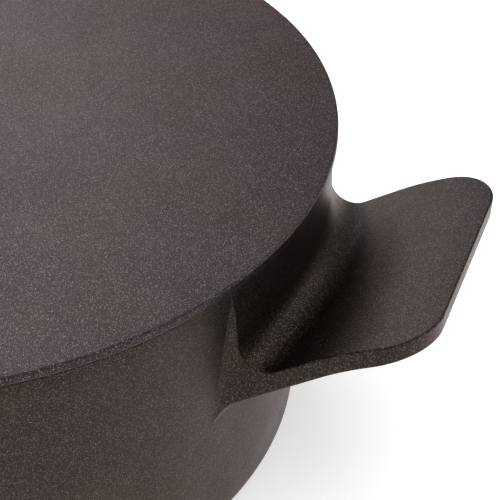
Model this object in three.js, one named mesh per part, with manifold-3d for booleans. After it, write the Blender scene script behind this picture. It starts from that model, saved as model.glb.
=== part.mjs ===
// A low cast iron dutch oven: a pot with two wing handles cast on, a flat lid that lifts off,
// and a cast knob held to the lid by one screw and washer from below.
// Millimetres, +Z up. Origin: centre of the flat base. The wing handles lie along +X and -X.
import * as THREE from "three";
import { mergeVertices } from "three/addons/utils/BufferGeometryUtils.js";
import Module from "manifold-3d";

const wasm = await Module();
wasm.setup();

// ---- driving dimensions ------------------------------------------------------------------
const GAP = 0.3; // between two pieces that touch
const SEGMENTS = 96; // around the pot and the lid

const POT_HEIGHT = 108.5; // base to rim
const RIM_RADIUS = 134; // outside, at the rim
const TAPER = Math.tan((7 * Math.PI) / 180); // the wall leans out by 7 degrees
const WALL = 4.6; // measured along the radius
const FLOOR = 5;
const CORNER_OUTSIDE = 9; // radius where the wall meets the base
const CORNER_INSIDE = 14;

const LID_RADIUS = 135;
const LID_EDGE = 3.2; // height of the lid's outer edge
const LID_PLATE = 4; // thickness inside the locating ring
const LID_TOP = POT_HEIGHT + GAP + LID_EDGE;
const RING_RADIUS = 127.6; // the ring that keeps the lid centred in the pot
const RING_DEPTH = 5.6;
const DRIP_RINGS = [38, 68, 98]; // radii of the low ridges under the lid

const WING_HALF_WIDTH = 45.6;
const WING_REACH = 182.4; // pot axis to the outer edge of the handle
const WING_CORNER = 17; // plan radius of the two outer corners
const WING_TROUGH = 7.5; // radius of the hollow between the wall and the wing
const WING_UNDER = 12; // radius where the underside runs into the wall
const WING_SIDE = 4.5; // radius where the side face runs into the wall
const WING_CURVE = 105; // radius of the upward sweep, top and bottom

const KNOB_RADIUS = 18.5;
const KNOB_HEIGHT = 25;
const KNOB_HOLE = 3.2;
const SCREW_RADIUS = 2.9;
const SCREW_HEAD_RADIUS = 5.8;
const WASHER_RADIUS = 8;
const WASHER_THICKNESS = 1.3;
const LID_HOLE = 3.4;

const rad = (degrees) => (degrees * Math.PI) / 180;
const wallRadius = (z) => RIM_RADIUS - (POT_HEIGHT - z) * TAPER;

// ---- solids ------------------------------------------------------------------------------
function solid(geometry) {
  const bare = new THREE.BufferGeometry();
  bare.setAttribute("position", geometry.getAttribute("position").clone());
  if (geometry.index) bare.setIndex(geometry.index.clone());
  const merged = mergeVertices(bare, 1e-4);
  const tri = new Uint32Array(merged.index.array);
  const build = () =>
    new wasm.Manifold(
      new wasm.Mesh({ numProp: 3, vertProperties: merged.attributes.position.array, triVerts: tri }),
    );
  let made = build();
  if (made.volume() < 0) {
    for (let i = 0; i < tri.length; i += 3) [tri[i + 1], tri[i + 2]] = [tri[i + 2], tri[i + 1]];
    made = build();
  }
  return made;
}

function geometryOf(body) {
  const m = body.getMesh();
  const xyz = new Float32Array(m.numVert * 3);
  for (let i = 0; i < m.numVert; i++) {
    xyz.set(m.vertProperties.subarray(i * m.numProp, i * m.numProp + 3), i * 3);
  }
  const geometry = new THREE.BufferGeometry();
  geometry.setAttribute("position", new THREE.BufferAttribute(xyz, 3));
  geometry.setIndex(new THREE.BufferAttribute(new Uint32Array(m.triVerts), 1));
  const flat = geometry.toNonIndexed();
  flat.computeVertexNormals();
  return flat;
}

// A profile of [radius, height] points turned about the Z axis.
function turned(profile, segments) {
  const points = profile.map(([r, z]) => new THREE.Vector2(r, z));
  return solid(new THREE.LatheGeometry(points, segments).rotateX(Math.PI / 2));
}

// A closed solid through rings of points: every ring has the same number of points, and the
// first and the last ring are capped. `flat` gives a ring's own 2-D coordinates for the caps.
function lofted(rings, flat) {
  const n = rings[0].length;
  const xyz = rings.flat().flatMap((p) => [p.x, p.y, p.z]);
  const index = [];
  for (let j = 0; j + 1 < rings.length; j++) {
    for (let i = 0; i < n; i++) {
      const a = j * n + i;
      const b = j * n + ((i + 1) % n);
      index.push(a, b, b + n, a, b + n, a + n);
    }
  }
  // each cap meets its ring's edges from the side that the walls leave open
  const cap = (ring, first, reversed) => {
    const outline = ring.map(flat);
    const along = THREE.ShapeUtils.area(outline) > 0;
    for (const t of THREE.ShapeUtils.triangulateShape(outline, [])) {
      const same = THREE.ShapeUtils.area(t.map((k) => outline[k])) > 0 === along;
      const [p, q, r] = t.map((k) => k + first);
      index.push(...(same === reversed ? [p, r, q] : [p, q, r]));
    }
  };
  cap(rings[0], 0, true);
  cap(rings.at(-1), (rings.length - 1) * n, false);
  const geometry = new THREE.BufferGeometry();
  geometry.setAttribute("position", new THREE.BufferAttribute(new Float32Array(xyz), 3));
  geometry.setIndex(index);
  return solid(geometry);
}

// Points on a circle of radius r about [x, y], from one angle to another, in degrees.
function arc(x, y, r, from, to, steps) {
  return Array.from({ length: steps + 1 }, (_, i) => {
    const a = rad(from + ((to - from) * i) / steps);
    return [x + r * Math.cos(a), y + r * Math.sin(a)];
  });
}

// ---- the pot's bowl ----------------------------------------------------------------------
// The rounded corner between a flat at height `level` and the leaning wall of radius
// wallRadius(z) - inset, as points from the flat up to the wall.
function cornerArc(level, inset, radius, steps) {
  const lean = 7;
  const z = level + radius;
  // the centre is one radius inside the wall line, measured square to it
  const r = wallRadius(z) - inset - radius / Math.cos(rad(lean));
  return arc(r, z, radius, -90, -lean, steps);
}

function bowl() {
  return turned(
    [
      [0, 0],
      ...cornerArc(0, 0, CORNER_OUTSIDE, 4),
      [wallRadius(POT_HEIGHT - 0.5), POT_HEIGHT - 0.5],
      [RIM_RADIUS - 0.55, POT_HEIGHT],
      [RIM_RADIUS - WALL + 0.5, POT_HEIGHT],
      [wallRadius(POT_HEIGHT - 0.6) - WALL, POT_HEIGHT - 0.6],
      ...cornerArc(FLOOR, WALL, CORNER_INSIDE, 5).reverse(),
      [0, FLOOR],
    ],
    SEGMENTS,
  );
}

// ---- one wing handle, on the +X side -----------------------------------------------------
// The wing leaves the wall just under the rim, drops nearly straight, turns out through a
// hollow, and sweeps up and outwards as a plate about 6 mm thick. Its top and underside are
// straight across the handle; only the hollow and the root follow the round wall.
const TOP_LINE = { x: 149, z: LID_TOP - 24.7, angle: 33 }; // where the straight part ends
const UNDER_LINE = { x: 150, z: LID_TOP - 31.5, angle: 34 };
const WING_TOP_RADIUS = 134; // the wall of the hollow, from the pot's axis
const WING_START = { radius: 133.4, z: POT_HEIGHT - 1.1 };

// The upward sweep from a line's end to beyond the wing's outer edge: [x, z] points.
function sweep(line, steps) {
  const cx = line.x + WING_CURVE * Math.sin(rad(line.angle));
  const cz = line.z - WING_CURVE * Math.cos(rad(line.angle));
  const end = Math.asin((cx - WING_REACH - 2) / WING_CURVE);
  return arc(cx, cz, WING_CURVE, 90 + line.angle, 90 + (end * 180) / Math.PI, steps);
}

// The handle's vertical section at distance y from its middle, as [x, z] points.
function wingSection(y) {
  const across = (r) => Math.sqrt(r * r - y * y);
  const a = rad(TOP_LINE.angle);
  // the hollow: tangent to the upright wall and to the wing's straight part
  const hx = across(WING_TOP_RADIUS) + WING_TROUGH;
  const hz = TOP_LINE.z + (WING_TROUGH + Math.sin(a) * (hx - TOP_LINE.x)) / Math.cos(a);
  const hollow = arc(hx, hz, WING_TROUGH, 180, 270 + TOP_LINE.angle, 6);

  // the fillet under the wing: tangent to the underside and just into the leaning wall
  const b = rad(UNDER_LINE.angle);
  const wallZ = LID_TOP - 55;
  const wallX = across(wallRadius(wallZ) - 0.25);
  const lean = Math.atan((TAPER * wallRadius(wallZ)) / wallX);
  const [n1x, n1z] = [Math.cos(lean), -Math.sin(lean)];
  const [n2x, n2z] = [Math.sin(b), -Math.cos(b)];
  const d1 = WING_UNDER + n1x * wallX + n1z * wallZ;
  const d2 = WING_UNDER + n2x * UNDER_LINE.x + n2z * UNDER_LINE.z;
  const det = n1x * n2z - n1z * n2x;
  const fx = (d1 * n2z - n1z * d2) / det;
  const fz = (n1x * d2 - d1 * n2x) / det;
  const degrees = 180 / Math.PI;
  const under = arc(fx, fz, WING_UNDER, 90 + b * degrees, 180 - lean * degrees, 5);

  const low = under.at(-1)[1];
  const root = 2.4; // depth of the root in the wall
  return [
    [across(wallRadius(WING_START.z) - root), WING_START.z],
    [across(WING_START.radius), WING_START.z],
    ...hollow,
    ...sweep(TOP_LINE, 5),
    ...sweep(UNDER_LINE, 5).reverse(),
    ...under,
    [across(wallRadius(low) - root), low],
  ];
}

// The side fillet's plan at height z: it fills the corner between side face and wall.
function sideFillet(z, side) {
  const r = wallRadius(z);
  const cy = WING_HALF_WIDTH + WING_SIDE;
  const cx = Math.sqrt((r + WING_SIDE) ** 2 - cy * cy);
  const wall = (Math.atan2(cy, cx) * 180) / Math.PI;
  const points = [
    [cx - 14, WING_HALF_WIDTH - 3],
    [cx, WING_HALF_WIDTH - 3],
    ...arc(cx, cy, WING_SIDE, -90, -180 + wall, 4),
    [(r - 2) * Math.cos(rad(wall)), (r - 2) * Math.sin(rad(wall))],
  ];
  return points.map(([x, y]) => new THREE.Vector3(x, side * y, z));
}

function wing() {
  const half = [0, 9.5, 19, 28.5, 37.5, 46.5, 53];
  const stations = [...half.slice(1).reverse().map((y) => -y), ...half];
  const blank = lofted(
    stations.map((y) => wingSection(y).map(([x, z]) => new THREE.Vector3(x, y, z))),
    (p) => new THREE.Vector2(p.x, p.z),
  );

  const [w, c, e] = [WING_HALF_WIDTH, WING_CORNER, WING_REACH];
  const plan = new THREE.Shape();
  plan.moveTo(110, -w);
  plan.lineTo(e - c, -w);
  plan.absarc(e - c, c - w, c, -Math.PI / 2, 0);
  plan.absarc(e - c, w - c, c, 0, Math.PI / 2);
  plan.lineTo(110, w);
  const low = 40;
  const depth = LID_TOP - low;
  let mask = solid(
    new THREE.ExtrudeGeometry(plan, { depth, bevelEnabled: false, curveSegments: 7 }).translate(0, 0, low),
  );
  for (const side of [-1, 1]) {
    mask = mask.add(
      lofted([sideFillet(low, side), sideFillet(LID_TOP, side)], (p) => new THREE.Vector2(p.x, p.y)),
    );
  }
  return blank.intersect(mask);
}

function pot() {
  const handle = geometryOf(wing());
  const opposite = handle.clone().rotateZ(Math.PI);
  return bowl().add(solid(handle)).add(solid(opposite));
}

// ---- lid, knob and their fastening -------------------------------------------------------
function lid() {
  const seat = LID_TOP - LID_EDGE;
  const under = LID_TOP - LID_PLATE;
  const ringEnd = seat - RING_DEPTH;
  const ridge = (r) => [
    [r + 1.3, under],
    [r, under - 1.1],
    [r - 1.3, under],
  ];
  const plate = turned(
    [
      [0, LID_TOP],
      [LID_RADIUS - 0.6, LID_TOP],
      [LID_RADIUS - 0.15, LID_TOP - 0.18],
      [LID_RADIUS, LID_TOP - 0.6],
      [LID_RADIUS, seat + 0.5],
      [LID_RADIUS - 0.5, seat],
      [RING_RADIUS + 0.5, seat],
      [RING_RADIUS, seat - 0.5],
      [RING_RADIUS - 0.6, ringEnd + 0.8],
      [RING_RADIUS - 1.5, ringEnd],
      [RING_RADIUS - 3.6, ringEnd],
      [RING_RADIUS - 4.5, ringEnd + 0.8],
      [RING_RADIUS - 6.4, under],
      ...[...DRIP_RINGS].reverse().flatMap(ridge),
      [0, under],
    ],
    SEGMENTS,
  );
  const hole = new THREE.CylinderGeometry(LID_HOLE, LID_HOLE, 3 * LID_PLATE, 24)
    .rotateX(Math.PI / 2)
    .translate(0, 0, LID_TOP - LID_PLATE / 2);
  return plate.subtract(solid(hole));
}

function knob() {
  const base = LID_TOP + GAP;
  const top = base + KNOB_HEIGHT;
  return turned(
    [
      [0, base + 14],
      [KNOB_HOLE, base + 14],
      [KNOB_HOLE, base],
      [10.4, base],
      [11, base + 0.6],
      [9.6, base + 3],
      [8.8, base + 6.5],
      [9.2, base + 10],
      [11.2, base + 13.5],
      [14.8, base + 16.3],
      [KNOB_RADIUS - 0.7, base + 18],
      [KNOB_RADIUS, base + 19.4],
      [KNOB_RADIUS, base + 21.2],
      [KNOB_RADIUS - 1.2, base + 22.9],
      [KNOB_RADIUS - 4, top - 1.1],
      [8, top - 0.3],
      [0, top],
    ],
    48,
  );
}

function washer() {
  const top = LID_TOP - LID_PLATE - GAP;
  const bottom = top - WASHER_THICKNESS;
  const hole = SCREW_RADIUS + 0.4;
  return turned(
    [
      [hole, bottom],
      [WASHER_RADIUS - 0.25, bottom],
      [WASHER_RADIUS, bottom + 0.25],
      [WASHER_RADIUS, top],
      [hole, top],
      [hole, bottom],
    ],
    32,
  );
}

function screw() {
  const seat = LID_TOP - LID_PLATE - WASHER_THICKNESS - 2 * GAP;
  const end = LID_TOP + GAP + 12;
  const head = 3.2;
  const r = SCREW_HEAD_RADIUS;
  const body = turned(
    [
      [0, seat - head],
      [0.62 * r, seat - head],
      [0.9 * r, seat - 0.72 * head],
      [r, seat - 0.35 * head],
      [r, seat],
      [SCREW_RADIUS, seat],
      [SCREW_RADIUS, end - 0.8],
      [SCREW_RADIUS - 0.8, end],
      [0, end],
    ],
    24,
  );
  const slot = new THREE.BoxGeometry(3 * r, 1.4, 3).translate(0, 0, seat - head);
  return body.subtract(solid(slot));
}

// ---- scene graph -------------------------------------------------------------------------
const iron = new THREE.MeshStandardMaterial({ color: 0x332d2b, roughness: 0.62, metalness: 0.35 });
const steel = new THREE.MeshStandardMaterial({ color: 0xa9a9a6, roughness: 0.35, metalness: 0.9 });

function piece(name, body, material) {
  const mesh = new THREE.Mesh(geometryOf(body), material);
  mesh.name = name;
  return mesh;
}

const lidGroup = new THREE.Group().add(
  piece("lid", lid(), iron),
  piece("lid_knob", knob(), iron.clone()),
  piece("knob_washer", washer(), steel),
  piece("knob_screw", screw(), steel.clone()),
);

export default new THREE.Group().add(piece("pot", pot(), iron.clone()), lidGroup);
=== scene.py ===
"""A low cast iron dutch oven with cast wing handles, on a pale floor.

The bowl, the lid and the knob are turned profiles; each wing handle is a grid over a
family of vertical sections and is joined to the bowl, so that the pot is one casting.
Shapes are written in millimetres and stored in metres, in the frame's own axes.
"""
import math

import bmesh
import bpy
import numpy as np
from mathutils import Matrix, Vector


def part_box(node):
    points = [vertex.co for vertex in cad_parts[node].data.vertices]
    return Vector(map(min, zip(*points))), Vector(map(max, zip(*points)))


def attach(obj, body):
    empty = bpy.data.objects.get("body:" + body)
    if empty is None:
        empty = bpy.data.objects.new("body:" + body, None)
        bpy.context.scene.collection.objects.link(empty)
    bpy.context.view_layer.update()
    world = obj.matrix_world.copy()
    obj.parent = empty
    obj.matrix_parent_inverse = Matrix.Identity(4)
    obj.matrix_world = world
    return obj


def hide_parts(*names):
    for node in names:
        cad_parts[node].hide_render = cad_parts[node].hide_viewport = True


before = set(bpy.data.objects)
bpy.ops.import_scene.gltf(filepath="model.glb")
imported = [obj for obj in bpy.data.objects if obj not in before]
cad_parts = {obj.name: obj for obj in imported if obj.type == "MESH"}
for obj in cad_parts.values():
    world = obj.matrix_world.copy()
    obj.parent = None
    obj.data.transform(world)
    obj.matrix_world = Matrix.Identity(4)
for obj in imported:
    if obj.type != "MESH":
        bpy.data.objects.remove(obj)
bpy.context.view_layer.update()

MM = 0.001

# ---- measures of the frame ---------------------------------------------------------------
POT_LOW, POT_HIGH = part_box("pot")
LID_LOW, LID_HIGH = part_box("lid")
KNOB_LOW, KNOB_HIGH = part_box("lid_knob")
WASHER_LOW, WASHER_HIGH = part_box("knob_washer")
SCREW_LOW, SCREW_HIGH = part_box("knob_screw")

RIM_Z = POT_HIGH.z / MM
REACH = POT_HIGH.x / MM
LID_TOP = LID_HIGH.z / MM
LID_R = LID_HIGH.x / MM
KNOB_R = KNOB_HIGH.x / MM

# The same driving dimensions as the CAD model.
RIM_R = 134.0
LEAN = 7                       # degrees by which the wall leans out
TAPER = math.tan(math.radians(LEAN))
WALL = 4.6
FLOOR = 5.0
CORNER_OUTSIDE = 9             # where the wall meets the base
CORNER_INSIDE = 14
LID_EDGE = 3.2
LID_PLATE = 4.0
RING_R = 127.6
DRIP_RINGS = (98, 68, 38)
LID_HOLE = 3.4
KNOB_HOLE = 3.2
SHANK_R = 2.9

# The wing handle. SIDE and HOLLOW_R differ a little from the CAD model's 4.5 and 134.
HALF_WIDTH = 45.6
CORNER = 17.0                  # plan radius of the two outer corners
TROUGH = 7.5                   # radius of the hollow between the wall and the handle
UNDER = 12.0                   # radius where the underside runs into the wall
SIDE = 6.0                     # radius where the side face runs into the wall
SWEEP = 105.0                  # radius of the upward sweep, top and bottom
ROOT = 2.4                     # how far the handle's root is sunk into the wall
LIP = 7.0                      # height over which the wall turns upright under the rim
EDGE = 0.6                     # rounding of the handle's long edges
# Where each straight run goes over into the sweep, as (x, z), and the run's slope.
TOP_LINE = (149.0, LID_TOP - 24.7, math.radians(33))
UNDER_LINE = (150.0, LID_TOP - 31.5, math.radians(34))
HOLLOW_R = 133.5               # the wall side of the hollow, at its foot
START_R, START_Z = 133.6, RIM_Z - 0.6
UNDER_WALL_Z = LID_TOP - 55    # where the wall's slope is taken for the fillet underneath
SINK = 0.05                    # how far a fillet's end dips into the wall

ROUND_SEGMENTS = 288           # round the pot and the lid


def wall_radius(z):
    return RIM_R - (RIM_Z - z) * TAPER


def lip_radius(z):
    """The wall's outside radius, which leans out and turns upright under the rim."""
    over = np.maximum(z - (RIM_Z - LIP), 0)
    return wall_radius(z) - TAPER * over * over / (2 * LIP)


def arc(x, y, r, start, end, steps):
    """Points on a circle about (x, y) from one angle to another, in degrees."""
    a = np.radians(np.linspace(start, end, steps + 1))
    return [(x + r * math.cos(t), y + r * math.sin(t)) for t in a]


def line(p, q, steps):
    """Points from p to q, both ends included."""
    return [tuple(np.array(p) + (np.array(q) - np.array(p)) * i / steps) for i in range(steps + 1)]


# ---- mesh helpers ------------------------------------------------------------------------
POLE = 1e-6                    # a smaller radius, in mm, counts as a point on the axis


def add_object(name, bm):
    mesh = bpy.data.meshes.new(name)
    bm.to_mesh(mesh)
    bm.free()
    obj = bpy.data.objects.new(name, mesh)
    bpy.context.scene.collection.objects.link(obj)
    return obj


def turned(profile, segments):
    """A closed profile of (radius, height) in mm turned about Z; radius 0 is a pole."""
    bm = bmesh.new()
    columns = []
    for r, z in profile:
        if r < POLE:
            columns.append([bm.verts.new((0, 0, z * MM))] * segments)
            continue
        ring = []
        for k in range(segments):
            a = 2 * math.pi * k / segments
            ring.append(bm.verts.new((r * math.cos(a) * MM, r * math.sin(a) * MM, z * MM)))
        columns.append(ring)
    closed = profile[0][0] > POLE
    following = columns[1:] + ([columns[0]] if closed else [])
    for low, high in zip(columns, following):
        for k in range(segments):
            n = (k + 1) % segments
            corners = []
            for v in (low[k], low[n], high[n], high[k]):
                if v not in corners:
                    corners.append(v)
            if len(corners) > 2:
                bm.faces.new(corners)
    bmesh.ops.recalc_face_normals(bm, faces=bm.faces)
    return bm


def add_grid(bm, rows):
    """Quads over a grid of (x, y, z) points in mm."""
    verts = [[bm.verts.new(Vector(p) * MM) for p in row] for row in rows]
    for a, b in zip(verts, verts[1:]):
        for k in range(len(a) - 1):
            bm.faces.new((a[k], a[k + 1], b[k + 1], b[k]))


def boolean(obj, tool, operation):
    mod = obj.modifiers.new("cut", "BOOLEAN")
    mod.operation = operation
    mod.solver = "EXACT"
    mod.object = tool
    apply_modifiers(obj)
    mesh = tool.data
    bpy.data.objects.remove(tool)
    bpy.data.meshes.remove(mesh)


def apply_modifiers(obj):
    bpy.context.view_layer.update()
    graph = bpy.context.evaluated_depsgraph_get()
    mesh = bpy.data.meshes.new_from_object(obj.evaluated_get(graph))
    old = obj.data
    obj.modifiers.clear()
    obj.data = mesh
    mesh.name = obj.name
    bpy.data.meshes.remove(old)


def smooth(obj, degrees):
    """Smooth faces with sharp edges above an angle, and normals led by the large faces."""
    mesh = obj.data
    mesh.polygons.foreach_set("use_smooth", [True] * len(mesh.polygons))
    mesh.set_sharp_from_angle(angle=math.radians(degrees))
    mod = obj.modifiers.new("normals", "WEIGHTED_NORMAL")
    mod.mode = "FACE_AREA"
    mod.weight = 50
    mod.keep_sharp = True
    apply_modifiers(obj)


# ---- the pot -----------------------------------------------------------------------------
def corner_points(level, inset, radius, steps):
    """The rounded corner from a flat level up to the leaning wall."""
    z = level + radius
    r = wall_radius(z) - inset - radius / math.cos(math.radians(LEAN))
    return arc(r, z, radius, -90, -LEAN, steps)


def bowl():
    outer = corner_points(0, 0, CORNER_OUTSIDE, 12)
    inner = corner_points(FLOOR, WALL, CORNER_INSIDE, 14)
    rim = 1.2                  # rounding of the rim
    middle = 20                # radius of the fan of triangles round each pole
    rim_out = arc(lip_radius(RIM_Z - rim) - rim, RIM_Z - rim, rim, 0, 90, 5)
    rim_in = arc(wall_radius(RIM_Z - rim) - WALL + rim, RIM_Z - rim, rim, 90, 180, 5)
    profile = [(0, 0)]
    profile += line((middle, 0), outer[0], 10)[:-1]
    profile += outer[:-1]
    profile += [(lip_radius(z), z) for _, z in line(outer[-1], rim_out[0], 38)[:-1]]
    profile += rim_out + rim_in
    profile += line(rim_in[-1], inner[-1], 12)[1:]
    profile += inner[-2::-1]
    profile += line(inner[0], (middle, FLOOR), 10)[1:]
    profile += [(0, FLOOR)]
    return turned(profile, ROUND_SEGMENTS)


def across(r, y):
    """How far out in x the circle of radius r lies at distance y from the middle."""
    return np.sqrt(r * r - y * y)


def sweep_height(spec, x):
    """Height at x of a straight run that goes over into the upward sweep."""
    x0, z0, angle = spec
    cx = x0 + SWEEP * math.sin(angle)
    cz = z0 - SWEEP * math.cos(angle)
    return np.where(x < x0, z0 + (x - x0) * math.tan(angle),
                    cz + np.sqrt(np.maximum(SWEEP ** 2 - (x - cx) ** 2, 0)))


# Steps along the handle's sections, from the wall to the outer edge.
CORNER_STEPS = 14
TOP_WALL, TOP_ARC, TOP_LINE_STEPS, TOP_SWEEP = 8, 18, 4, 6
UNDER_ARC = 14
STATIONS = 2 + TOP_WALL + TOP_ARC + TOP_LINE_STEPS + TOP_SWEEP + CORNER_STEPS
UNDER_STEPS = STATIONS - 2 - UNDER_ARC - TOP_SWEEP - CORNER_STEPS

COLUMNS = 65                   # across the handle
CROWDING = 0.82                # how strongly the columns gather towards the sides
WIDENING_PASSES = 5            # rounds of moving the sides out to the flare
ROWS_BETWEEN = 12              # down a side face, between its two rounded edges


def outer_stations(reach, corner):
    """x of the stations from the sweep's start to the outer edge, close set in the corner."""
    start = reach - corner
    flat = [TOP_LINE[0] + (start - TOP_LINE[0]) * k / TOP_SWEEP for k in range(1, TOP_SWEEP + 1)]
    turn = [start + corner * math.sin(math.pi / 2 * k / CORNER_STEPS)
            for k in range(1, CORNER_STEPS + 1)]
    return flat + turn


def top_path(y, reach, corner):
    """Points (x, z) of the handle's top at distance y from its middle, wall to outer edge."""
    x0, z0, angle = TOP_LINE
    y = np.asarray(y, float)
    hx = across(HOLLOW_R, y) + TROUGH
    hz = z0 + (TROUGH + math.sin(angle) * (hx - x0)) / math.cos(angle)
    path = [(across(lip_radius(START_Z) - ROOT, y), START_Z + 0 * y)]
    for k in range(TOP_WALL + 1):
        f = k / TOP_WALL
        path.append((across(START_R + (HOLLOW_R - START_R) * f, y), START_Z + (hz - START_Z) * f))
    turn = np.radians(np.linspace(180, 270 + math.degrees(angle), TOP_ARC + 1))[1:]
    path += [(hx + TROUGH * math.cos(t), hz + TROUGH * math.sin(t)) for t in turn]
    end = path[-1]
    for k in range(1, TOP_LINE_STEPS + 1):
        f = k / TOP_LINE_STEPS
        path.append((end[0] + (x0 - end[0]) * f, end[1] + (z0 - end[1]) * f))
    path += [(x + 0 * y, sweep_height(TOP_LINE, x) + 0 * y) for x in outer_stations(reach, corner)]
    return path


def under_path(y, reach, corner):
    """Points (x, z) of the handle's underside, with as many stations as the top."""
    x0, z0, angle = UNDER_LINE
    y = np.asarray(y, float)
    wall_x = across(wall_radius(UNDER_WALL_Z) - SINK, y)
    lean = np.arctan(TAPER * wall_radius(UNDER_WALL_Z) / wall_x)
    n1x, n1z = np.cos(lean), -np.sin(lean)
    n2x, n2z = math.sin(angle), -math.cos(angle)
    d1 = UNDER + n1x * wall_x + n1z * UNDER_WALL_Z
    d2 = UNDER + n2x * x0 + n2z * z0
    det = n1x * n2z - n1z * n2x
    fx = (d1 * n2z - n1z * d2) / det
    fz = (n1x * d2 - d1 * n2x) / det
    first, last = math.pi - lean, math.pi / 2 + angle
    low = fz + UNDER * np.sin(first)
    path = [(across(wall_radius(low) - ROOT, y), low)]
    for k in range(UNDER_ARC + 1):
        t = first + (last - first) * k / UNDER_ARC
        path.append((fx + UNDER * np.cos(t), fz + UNDER * np.sin(t)))
    end = path[-1]
    for k in range(1, UNDER_STEPS + 1):
        f = k / UNDER_STEPS
        path.append((end[0] + (x0 - end[0]) * f, end[1] + (z0 - end[1]) * f))
    path += [(x + 0 * y, sweep_height(UNDER_LINE, x) + 0 * y)
             for x in outer_stations(reach, corner)]
    return path


def flare(x, z):
    """How much wider the handle is near the wall, where its side face curves into it."""
    r = lip_radius(z) - SINK
    centre = np.sqrt((r + SIDE) ** 2 - (HALF_WIDTH + SIDE) ** 2)
    u = np.clip(centre - x, 0, centre * SIDE / (r + SIDE))
    return SIDE - np.sqrt(SIDE ** 2 - u ** 2)


def surface(path, half):
    """A grid of points over the top or the underside: one row per station."""
    reach, corner = REACH - EDGE, CORNER - EDGE
    t = np.sin(np.linspace(-1, 1, COLUMNS) * math.pi / 2 * CROWDING)
    t = t / t[-1]
    y = np.tile(t * half, (STATIONS, 1))
    outer = outer_stations(reach, corner)
    narrow = np.ones(STATIONS)
    for k, x in enumerate(outer):
        over = max(x - (reach - corner), 0)
        inside = math.sqrt(max(corner ** 2 - over ** 2, 0))
        narrow[STATIONS - len(outer) + k] = (half - corner + inside) / half
    y = y * narrow[:, None]
    plain = y.copy()
    for _ in range(WIDENING_PASSES):
        x = np.empty_like(y)
        z = np.empty_like(y)
        for s in range(STATIONS):
            x[s], z[s] = path(y[s], reach, corner)[s]
        edge = np.maximum(flare(x[:, -1], z[:, -1]), 0)
        y = plain * (1 + edge[:, None] / half)
    return np.stack([x, y, z], axis=2)


def wing():
    """One handle on the +X side as a closed mesh, its root sunk into the wall."""
    inset = HALF_WIDTH - EDGE
    top = surface(top_path, inset)
    low = surface(under_path, inset)
    last_station, last_column = STATIONS - 1, COLUMNS - 1
    ahead = np.array([1.0, 0, 0])
    steps = np.radians([22.5, 45, 67.5, 90])
    least_run = 0.2            # least x of a unit direction when its slope is taken

    def rolled(grid, s, j, sign, outward):
        """The points of the rounded edge beside grid point (s, j), from inside to outside."""
        a, b = grid[max(s - 1, 1), j], grid[min(max(s, 1) + 1, last_station), j]
        d = np.array([b[0] - a[0], b[2] - a[2]])
        d /= np.linalg.norm(d)
        normal = np.array([-d[1], 0, d[0]]) * sign
        if s < 2:
            normal = np.array([0.95, 0, 0.3 * sign])
        rise = outward[0] * d[1] / max(d[0], least_run)
        p = grid[s, j]
        points = [p + (outward + np.array([0, 0, rise])) * EDGE * math.sin(t)
                  - normal * EDGE * (1 - math.cos(t)) for t in steps]
        if outward[0] == 0:
            for q in points:
                q[1] += outward[1] * (flare(q[0], q[2]) - flare(p[0], p[2]))
        return points

    def side_list(s, j, outward):
        """The points from the top to the underside round the edge at grid point (s, j)."""
        upper = rolled(top, s, j, 1, outward)
        lower = rolled(low, s, j, -1, outward)
        a, b = upper[-1], lower[-1]
        between = []
        for k in range(1, ROWS_BETWEEN):
            p = a + (b - a) * k / ROWS_BETWEEN
            if outward[0] == 0:
                p[1] = outward[1] * (HALF_WIDTH + flare(p[0], p[2]))
            between.append(p)
        return [top[s, j], *upper, *between, *lower[::-1], low[s, j]]

    def outward_at(s, side):
        """The way the outline faces at station s, on the side -1 or 1."""
        k = s - (last_station - CORNER_STEPS)
        turn = math.pi / 2 * max(k, 0) / CORNER_STEPS
        return np.array([math.sin(turn) if k > 0 else 0.0, side * math.cos(turn), 0.0])

    def side_face(side, j):
        rows = [side_list(s, j, outward_at(s, side)) for s in range(last_station)]
        return rows + [side_list(last_station, j, ahead)]

    left, right = side_face(-1, 0), side_face(1, last_column)
    front = [side_list(last_station, j, ahead) for j in range(COLUMNS)]
    near = [0.01 * k for k in range(len(steps) + 1)]
    middle = [near[-1] + (1 - 2 * near[-1]) * k / ROWS_BETWEEN for k in range(1, ROWS_BETWEEN)]
    fall = near + middle + [1 - k for k in reversed(near)]
    back = [left[0]]
    for j in range(1, last_column):
        a, b = top[0, j], low[0, j]
        column = [a]
        for f in fall[1:-1]:
            y = a[1] + (b[1] - a[1]) * f
            z = a[2] + (b[2] - a[2]) * f
            r = lip_radius(z) - ROOT
            column.append(np.array([math.sqrt(r * r - y * y), y, z]))
        back.append(column + [b])
    back.append(right[0])

    bm = bmesh.new()
    for rows in (top, low, left, right, front, back):
        add_grid(bm, rows)
    for v in bm.verts:
        v.co.x = min(v.co.x, REACH * MM)
    bmesh.ops.remove_doubles(bm, verts=bm.verts, dist=0.004 * MM)
    bmesh.ops.recalc_face_normals(bm, faces=bm.faces)
    return bm


def make_pot():
    pot = add_object("pot_casting", bowl())
    for turn in (0, math.pi):
        handle = wing()
        bmesh.ops.rotate(handle, cent=(0, 0, 0), verts=handle.verts,
                         matrix=Matrix.Rotation(turn, 3, "Z"))
        boolean(pot, add_object("wing", handle), "UNION")
    smooth(pot, 40)
    return pot


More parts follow.
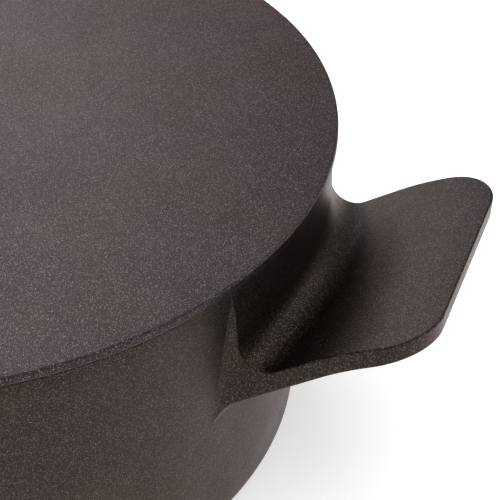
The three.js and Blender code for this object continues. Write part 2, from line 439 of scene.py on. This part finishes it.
# ---- lid, knob, washer and screw ---------------------------------------------------------
def make_lid():
    seat = LID_TOP - LID_EDGE
    under = LID_TOP - LID_PLATE
    ring_end = LID_LOW.z / MM
    e, low_e = 0.7, 1.0        # roundings of the outer edge, above and below
    bevel = 0.3                # at both ends of the screw hole
    profile = [(LID_HOLE, under + bevel), (LID_HOLE, LID_TOP - bevel),
               (LID_HOLE + bevel, LID_TOP)]
    profile += line((12, LID_TOP), (LID_R - e - 2.5, LID_TOP), 42)
    profile += arc(LID_R - e, LID_TOP - e, e, 90, 0, 5)
    profile += [(LID_R, LID_TOP - 0.45 * LID_EDGE)]
    profile += arc(LID_R - low_e, seat + low_e, low_e, 0, -90, 6)
    profile += line((LID_R - 2, seat), (RING_R + 1.2, seat), 3)
    profile += arc(RING_R + 0.7, seat - 0.7, 0.7, 90, 180, 3)
    profile += [(RING_R - 0.1, seat - 2.5)]
    profile += arc(RING_R - 1.5, ring_end + 1.2, 1.2, 0, -90, 4)
    profile += arc(RING_R - 3.4, ring_end + 1.2, 1.2, -90, -180, 4)
    profile += [(RING_R - 5.1, ring_end + 2.9), (RING_R - 5.5, under - 0.4),
                (RING_R - 6.4, under)]
    ridge = ((1.8, 0.06), (1.1, 0.45), (0.45, 0.98))    # half of one: distance, depth
    for r in DRIP_RINGS:
        profile += line((r + 10, under), (r + 3.2, under), 3)
        profile += [(r + d, under - h) for d, h in ridge]
        profile += [(r, under - 1.1)]
        profile += [(r - d, under - h) for d, h in reversed(ridge)]
        profile += line((r - 3.2, under), (r - 10, under), 3)
    profile += line((24, under), (9, under), 4) + [(LID_HOLE + bevel, under)]
    lid = add_object("lid_casting", turned(profile, ROUND_SEGMENTS))
    smooth(lid, 40)
    return lid


def rounded(points, steps, limit_r, limit_z):
    """A smooth curve through the points, kept inside a radius and a height."""
    p = [points[0], *points, points[-1]]
    out = []
    for k in range(1, len(p) - 2):
        for i in range(steps):
            t = i / steps
            w = (-t ** 3 + 2 * t ** 2 - t, 3 * t ** 3 - 5 * t ** 2 + 2,
                 -3 * t ** 3 + 4 * t ** 2 + t, t ** 3 - t ** 2)
            r, z = (sum(w[m] * p[k - 1 + m][axis] for m in range(4)) / 2 for axis in (0, 1))
            out.append((min(max(r, 0), limit_r), min(z, limit_z)))
    return out + [points[-1]]


def make_knob():
    base, top = KNOB_LOW.z / MM, KNOB_HIGH.z / MM
    hole_end = base + 14
    skirt = [(10.6, base), (11, base + 0.5), (10.7, base + 1.3), (9.6, base + 3.2),
             (8.8, base + 6.5), (9.2, base + 10), (11.2, base + 13.5), (14.8, base + 16.3),
             (KNOB_R - 0.8, base + 18.1), (KNOB_R, base + 20.2), (KNOB_R - 1.2, base + 22.6),
             (KNOB_R - 4.2, top - 1.15), (8, top - 0.3)]
    profile = [(0, hole_end), (KNOB_HOLE, hole_end), (KNOB_HOLE, base + 0.4),
               (KNOB_HOLE + 0.4, base), (7, base)]
    profile += rounded(skirt, 5, KNOB_R, top) + line((6, top - 0.17), (0, top), 4)
    knob = add_object("knob_casting", turned(profile, 120))
    smooth(knob, 40)
    return knob


def make_washer():
    low, high = WASHER_LOW.z / MM, WASHER_HIGH.z / MM
    r = WASHER_HIGH.x / MM
    hole, e = 3.3, 0.25
    profile = [(hole, low + e), (hole, high - e), (hole + e, high), (r - 1, high)]
    profile += arc(r - e, high - e, e, 90, 0, 3) + arc(r - e, low + e, e, 0, -90, 3)
    profile += [(r - 1, low), (hole + 1, low), (hole + e, low)]
    washer = add_object("steel_washer", turned(profile, 96))
    smooth(washer, 35)
    return washer


def make_screw():
    low, high = SCREW_LOW.z / MM, SCREW_HIGH.z / MM
    r = SCREW_HIGH.x / MM
    head = 3.2
    pitch, depth = 1.0, 0.35   # of the ring grooves that stand for the thread
    seat = low + head
    crown = [(0.62 * r, low), (0.78 * r, low + 0.4), (0.9 * r, low + 0.28 * head),
             (0.97 * r, low + 0.5 * head), (r, low + 0.65 * head)]
    profile = [(0, low), (0.3 * r, low)] + crown
    profile += [(r, seat - 0.2), (r - 0.2, seat), (SHANK_R, seat), (SHANK_R, seat + 2)]
    thread = seat + 3
    while thread < high - 1.6:
        profile += [(SHANK_R - depth, thread), (SHANK_R, thread + 0.35),
                    (SHANK_R, thread + 0.55), (SHANK_R - depth, thread + 0.9)]
        thread += pitch
    profile += [(SHANK_R - depth, high - 0.8), (SHANK_R - 0.9, high), (0, high)]
    screw = add_object("steel_screw", turned(profile, 64))
    slot = bmesh.new()
    slot_size = Matrix.Diagonal((3 * r * MM, 1.4 * MM, 3 * MM, 1))
    bmesh.ops.create_cube(slot, size=1, matrix=Matrix.Translation((0, 0, low * MM)) @ slot_size)
    boolean(screw, add_object("slot", slot), "DIFFERENCE")
    smooth(screw, 35)
    return screw


# ---- materials ---------------------------------------------------------------------------
def new_material(name):
    mat = bpy.data.materials.new(name)
    mat.use_nodes = True
    mat.node_tree.nodes.clear()
    return mat


class Nodes:
    """Short calls for building one material's node tree."""

    def __init__(self, mat):
        self.tree = mat.node_tree

    def add(self, kind, settings=None, **inputs):
        node = self.tree.nodes.new(kind)
        for key, value in (settings or {}).items():
            setattr(node, key, value)
        for key, value in inputs.items():
            self.set(node, key.replace("_", " "), value)
        return node

    def set(self, node, key, value):
        socket = node.inputs[key]
        if isinstance(value, bpy.types.NodeSocket):
            self.tree.links.new(value, socket)
        else:
            socket.default_value = value

    def noise(self, where, scale, detail=2.0, rough=0.5):
        node = self.add("ShaderNodeTexNoise", Vector=where, Scale=scale, Detail=detail,
                        Roughness=rough)
        return node.outputs["Fac"]

    def span(self, value, low, high, a, b):
        node = self.add("ShaderNodeMapRange", Value=value)
        for key, number in zip(("From Min", "From Max", "To Min", "To Max"), (low, high, a, b)):
            node.inputs[key].default_value = number
        return node.outputs["Result"]

    def math(self, operation, a, b):
        node = self.add("ShaderNodeMath", {"operation": operation})
        for socket, value in zip(node.inputs, (a, b)):
            if isinstance(value, bpy.types.NodeSocket):
                self.tree.links.new(value, socket)
            else:
                socket.default_value = value
        return node.outputs[0]

    def mix(self, factor, a, b, blend="MIX"):
        node = self.add("ShaderNodeMix", {"data_type": "RGBA", "blend_type": blend})
        for key, value in ((0, factor), (6, a), (7, b)):
            if isinstance(value, bpy.types.NodeSocket):
                self.tree.links.new(value, node.inputs[key])
            else:
                node.inputs[key].default_value = value
        return node.outputs[2]


def rgb(r, g, b):
    return (r, g, b, 1.0)


def iron(name, shift, cells, sparkle, tint):
    """Seasoned cast iron: near black, sand-cast grain, scattered bright specks.

    The shift keeps two pieces from showing the same pattern, cells sets how fine the specks
    are, sparkle how bright, and the tint multiplies the iron's colour.
    """
    mat = new_material(name)
    n = Nodes(mat)
    coords = n.add("ShaderNodeTexCoord").outputs["Object"]
    # Turned off the axes, so that the cells' own lattice shows on no flat face or wall.
    where = n.add("ShaderNodeMapping", Vector=coords, Location=shift,
                  Rotation=(0.61, 0.43, 0.87)).outputs["Vector"]

    # Broad patches of the seasoning, from a violet to a brown black, then finer clouds.
    patches = n.span(n.noise(where, 16, 3, 0.6), 0.38, 0.62, 0, 1)
    clouds = n.span(n.noise(where, 75, 4, 0.6), 0.3, 0.7, 0.84, 1.16)
    color = n.mix(patches, rgb(0.0262, 0.0192, 0.0262), rgb(0.0312, 0.0214, 0.0162))
    color = n.mix(1.0, color, clouds, "MULTIPLY")
    color = n.mix(1.0, color, rgb(*tint), "MULTIPLY")

    # The sand's grain: dark pits between light grains, and some grains that glint.
    grain = n.noise(where, 1500, 4, 0.8)
    color = n.mix(1.0, color, n.span(grain, 0.32, 0.68, 0.35, 1.65), "MULTIPLY")
    cell = n.add("ShaderNodeTexVoronoi", Vector=where, Scale=cells)
    lot = n.add("ShaderNodeSeparateColor", Color=cell.outputs["Color"]).outputs["Red"]
    dot = n.span(cell.outputs["Distance"], 0.25, 0.42, 1, 0)
    glint = n.math("MULTIPLY", n.span(lot, 0.45, 1.0, 0, 1), dot)
    color = n.mix(n.math("MULTIPLY", glint, sparkle), color, rgb(0.76, 0.66, 0.66))

    # Edges are worn a little lighter.
    edge = n.add("ShaderNodeNewGeometry").outputs["Pointiness"]
    worn = n.math("MULTIPLY", n.span(edge, 0.53, 0.62, 0, 0.4), n.span(grain, 0.4, 0.6, 0.2, 1))
    color = n.mix(worn, color, rgb(0.085, 0.066, 0.060))

    # Painted shade: ambient occlusion darkens the iron's colour in narrow gaps and inside corners,
    # where shade falls.
    occlusion_shade = n.add("ShaderNodeAmbientOcclusion", {"samples": 8, "only_local": True}, Distance=0.004)
    painted_shade_factor = n.span(occlusion_shade.outputs["AO"], 0.35, 0.85, 0.45, 1.0)
    color = n.mix(1.0, color, painted_shade_factor, "MULTIPLY")

    rough = n.span(n.noise(where, 45, 3, 0.6), 0.3, 0.7, 0.38, 0.48)
    rough = n.math("SUBTRACT", rough, n.math("MULTIPLY", glint, 0.12))

    casting = n.noise(where, 260, 3, 0.6)
    height = n.math("ADD", n.math("MULTIPLY", casting, 0.6), n.math("MULTIPLY", grain, 0.6))
    height = n.math("ADD", height, n.math("MULTIPLY", glint, 0.25))
    bump = n.add("ShaderNodeBump", Strength=0.8, Distance=0.00026, Height=height)

    shader = n.add("ShaderNodeBsdfPrincipled", Base_Color=color, Roughness=rough,
                   Normal=bump.outputs["Normal"])
    shader.inputs["Metallic"].default_value = 0.9
    shader.inputs["IOR"].default_value = 1.5
    shader.inputs["Specular Tint"].default_value = rgb(1.0, 0.90, 0.88)
    shader.inputs["Coat Weight"].default_value = 0.12
    shader.inputs["Coat Roughness"].default_value = 0.32
    n.add("ShaderNodeOutputMaterial", Surface=shader.outputs[0])
    return mat


def steel(name):
    """Turned stainless steel: fine rings round the axis, a few dark spots."""
    mat = new_material(name)
    n = Nodes(mat)
    coords = n.add("ShaderNodeTexCoord").outputs["Object"]
    rings = n.add("ShaderNodeTexWave", {"wave_type": "RINGS", "rings_direction": "Z"},
                  Vector=coords, Scale=900.0, Distortion=1.5, Detail=3.0)
    rings = rings.outputs["Fac"]
    spots = n.noise(coords, 420, 4, 0.6)
    color = n.mix(n.span(spots, 0.5, 0.75, 0, 0.6), rgb(0.52, 0.52, 0.50), rgb(0.25, 0.24, 0.22))
    color = n.mix(1.0, color, n.span(rings, 0, 1, 0.88, 1.05), "MULTIPLY")
    rough = n.span(n.noise(coords, 900, 3, 0.6), 0.3, 0.7, 0.24, 0.42)
    bump = n.add("ShaderNodeBump", Strength=0.3, Distance=0.00005, Height=rings)
    shader = n.add("ShaderNodeBsdfPrincipled", Base_Color=color, Roughness=rough,
                   Normal=bump.outputs["Normal"])
    shader.inputs["Metallic"].default_value = 1.0
    n.add("ShaderNodeOutputMaterial", Surface=shader.outputs[0])
    return mat


def pale_floor(name):
    mat = new_material(name)
    n = Nodes(mat)
    coords = n.add("ShaderNodeTexCoord").outputs["Object"]
    tint = n.span(n.noise(coords, 3, 3, 0.5), 0.3, 0.7, 0, 1)
    color = n.mix(tint, rgb(0.93, 0.925, 0.92), rgb(0.96, 0.96, 0.955))
    shader = n.add("ShaderNodeBsdfPrincipled", Base_Color=color)
    shader.inputs["Roughness"].default_value = 0.8
    shader.inputs["Emission Color"].default_value = rgb(1.0, 1.0, 1.0)
    shader.inputs["Emission Strength"].default_value = 0.40
    n.add("ShaderNodeOutputMaterial", Surface=shader.outputs[0])
    return mat


# ---- pieces on their bodies --------------------------------------------------------------
STEEL = steel("turned_steel")
# The pot's tint is darker than the lid's: partly the iron's warmer tone, partly painted shade that
# keeps the pot's walls darker than the lid's top.
POT_IRON = iron("iron_pot", (0.0, 0.0, 0.0), 2800.0, 0.33, (0.57, 0.51, 0.34))
LID_IRON = iron("iron_lid", (0.31, 0.17, 0.23), 3000.0, 0.48, (0.82, 0.79, 0.82))
KNOB_IRON = iron("iron_knob", (0.57, 0.41, 0.11), 3000.0, 0.4, (0.95, 0.95, 0.95))

for maker, node, body, material in (
        (make_pot, "pot", "pot_body", POT_IRON),
        (make_lid, "lid", "lid_body", LID_IRON),
        (make_knob, "lid_knob", "lid_body", KNOB_IRON),
        (make_washer, "knob_washer", "lid_body", STEEL),
        (make_screw, "knob_screw", "lid_body", STEEL)):
    piece = maker()
    piece.data.materials.clear()
    piece.data.materials.append(material)
    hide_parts(node)
    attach(piece, body)

# ---- floor, light and camera -------------------------------------------------------------
FLOOR_HALF = 6.0               # metres, like the places of the lights and the camera
FLOOR_GAP = 0.0002
sheet = bmesh.new()
bmesh.ops.create_grid(sheet, x_segments=24, y_segments=24, size=FLOOR_HALF)
floor = add_object("floor", sheet)
floor.location.z = min(POT_LOW.z, 0.0) - FLOOR_GAP
floor.data.materials.append(pale_floor("pale_floor"))

scene = bpy.context.scene
world = bpy.data.worlds.new("studio")
world.use_nodes = True
sky = world.node_tree.nodes["Background"]
sky.inputs["Color"].default_value = rgb(1.0, 1.0, 1.0)
sky.inputs["Strength"].default_value = 0.25
scene.world = world
scene.view_settings.view_transform = "Standard"

AIM = Vector((0, 0, 0.1))


def soft_box(name, azimuth, elevation, distance, size, watts):
    """A round soft light aimed at the pot; azimuth is from +X towards +Y, in degrees."""
    data = bpy.data.lights.new(name, "AREA")
    data.shape = "DISK"
    data.size = size
    data.energy = watts
    light = bpy.data.objects.new(name, data)
    a, e = math.radians(azimuth), math.radians(elevation)
    away = Vector((math.cos(e) * math.cos(a), math.cos(e) * math.sin(a), math.sin(e)))
    light.location = AIM + away * distance
    light.rotation_euler = (-away).to_track_quat("-Z", "Y").to_euler()
    light.visible_camera = False
    scene.collection.objects.link(light)


soft_box("key_light", 128, 42, 0.9, 0.6, 3.6)
soft_box("far_light", 114, 28, 1.2, 0.6, 0.7)
soft_box("left_light", 160, 12, 1.5, 1.0, 15.0)
soft_box("right_light", 25, 12, 1.5, 1.0, 6.0)
soft_box("front_light", 300, 60, 1.6, 1.1, 3.0)
soft_box("edge_light", 225, 45, 1.8, 1.5, 10.0)
soft_box("hollow_light", 50, 38, 1.6, 0.9, 2.0)
soft_box("near_light", 338, 52, 1.5, 1.4, 8.0)

camera_data = bpy.data.cameras.new("camera")
camera_data.lens = 125.0
camera_data.sensor_width = 36.0
camera_data.clip_start = 0.01
camera = bpy.data.objects.new("camera", camera_data)
camera.location = (0.2580, -0.4093, LID_HIGH.z + 0.3023)
camera.rotation_euler = (math.radians(52.883), 0.0, math.radians(19.5))
scene.collection.objects.link(camera)
scene.camera = camera
